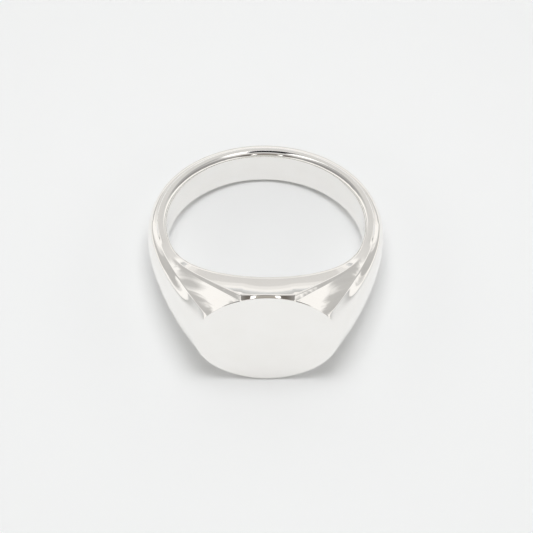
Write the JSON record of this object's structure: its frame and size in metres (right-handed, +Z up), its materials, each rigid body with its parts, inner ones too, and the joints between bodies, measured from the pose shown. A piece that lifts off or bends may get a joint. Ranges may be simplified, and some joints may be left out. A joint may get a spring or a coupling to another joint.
{
  "type": "signet ring",
  "caption": "Solid silver signet ring with a plain oval table, faceted shoulders and a D-section shank, lying on its side.",
  "frame": {"origin": "middle of the footprint of the ring as it lies on its side, on the surface below it", "axes": "+Z up from the surface, nearly along the finger; -Y towards the signet table; +X to the right as the table is seen"},
  "size_m": [0.0218, 0.0252, 0.0106],
  "materials": {
    "polished_silver": "mirror polished",
    "silver_solder": "mirror polished"
  },
  "bodies": {
    "root": {"signet_table": "polished_silver", "table_solder": "silver_solder", "head": "polished_silver", "head_solder_right": "silver_solder", "head_solder_left": "silver_solder", "right_shoulder": "polished_silver", "left_shoulder": "polished_silver", "shank_solder_right": "silver_solder", "shank_solder_left": "silver_solder", "shank": "polished_silver"}
  },
  "joints": []
}
